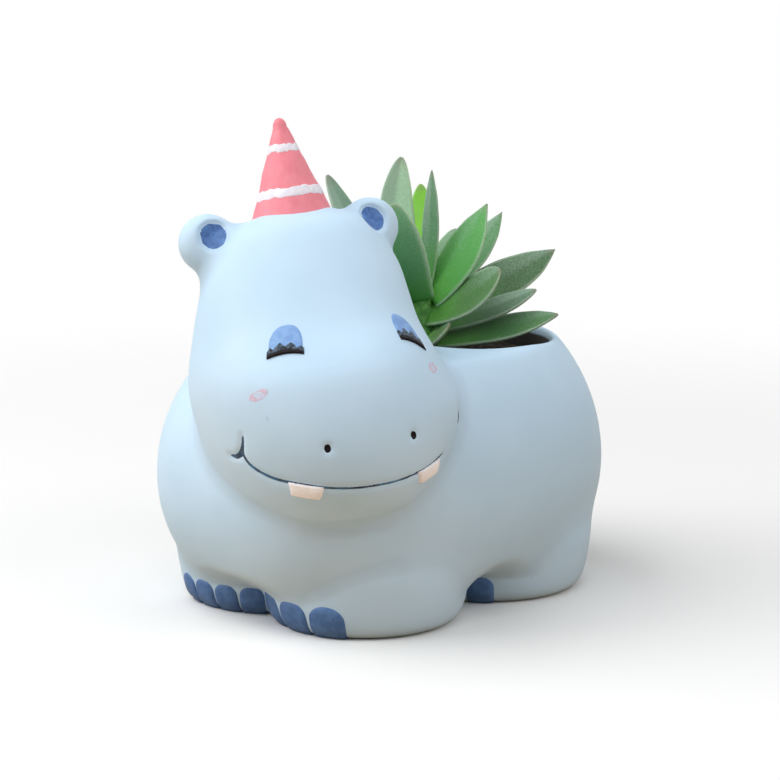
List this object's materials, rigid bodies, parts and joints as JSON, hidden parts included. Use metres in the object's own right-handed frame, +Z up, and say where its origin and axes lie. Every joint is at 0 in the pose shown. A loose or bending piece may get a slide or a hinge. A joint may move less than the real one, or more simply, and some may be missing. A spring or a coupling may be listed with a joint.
{
  "type": "animal planter",
  "caption": "Hippo-shaped planter with a turned head, a party hat and an open back that holds a lift-out potted succulent.",
  "frame": {"origin": "on the ground, midway between the four feet", "axes": "+Z up; the body faces -Y, its left side is +X, and the head is turned to its own left"},
  "size_m": [0.116, 0.1484, 0.1445],
  "materials": {
    "blue_resin": "satin painted cast resin",
    "hat_coral": "painted cast resin",
    "hat_white": "brushed paint",
    "ear_blue": "painted",
    "lid_blue": "painted",
    "lash_dark": "painted",
    "cheek_pink": "thin paint",
    "line_navy": "painted",
    "tooth_ivory": "painted",
    "nail_blue": "painted",
    "potting_soil": "dark crumbly peat",
    "stem_green": "fibrous",
    "leaf_green": "frosted, fleshy"
  },
  "bodies": {
    "planter": {"cheek_mark_left": "cheek_pink", "cheek_mark_right": "cheek_pink", "eyelash_left": "lash_dark", "eyelash_right": "lash_dark", "eyelid_left": "lid_blue", "eyelid_right": "lid_blue", "hat_stripe_lower": "hat_white", "hat_stripe_upper": "hat_white", "head": "blue_resin", "inner_ear_left": "ear_blue", "inner_ear_right": "ear_blue", "mouth_line": "line_navy", "nostril_left": "line_navy", "nostril_right": "line_navy", "party_hat": "hat_coral", "pot_body": "blue_resin", "toenails_front_left": "nail_blue", "toenails_front_right": "nail_blue", "toenails_rear_left": "nail_blue", "toenails_rear_right": "nail_blue", "tooth_left": "tooth_ivory", "tooth_right": "tooth_ivory"},
    "planting": {"inner_leaf_1": "leaf_green", "inner_leaf_2": "leaf_green", "inner_leaf_3": "leaf_green", "inner_leaf_4": "leaf_green", "inner_leaf_5": "leaf_green", "inner_leaf_6": "leaf_green", "inner_leaf_7": "leaf_green", "middle_leaf_1": "leaf_green", "middle_leaf_2": "leaf_green", "middle_leaf_3": "leaf_green", "middle_leaf_4": "leaf_green", "middle_leaf_5": "leaf_green", "middle_leaf_6": "leaf_green", "outer_leaf_1": "leaf_green", "outer_leaf_2": "leaf_green", "outer_leaf_3": "leaf_green", "outer_leaf_4": "leaf_green", "outer_leaf_5": "leaf_green", "soil": "potting_soil", "stem": "stem_green"}
  },
  "joints": [
    {"name": "planting_lift", "type": "slide", "parent": "planter", "child": "planting", "axis": [0, 0, 1], "range_m": [0, 0.08]}
  ]
}
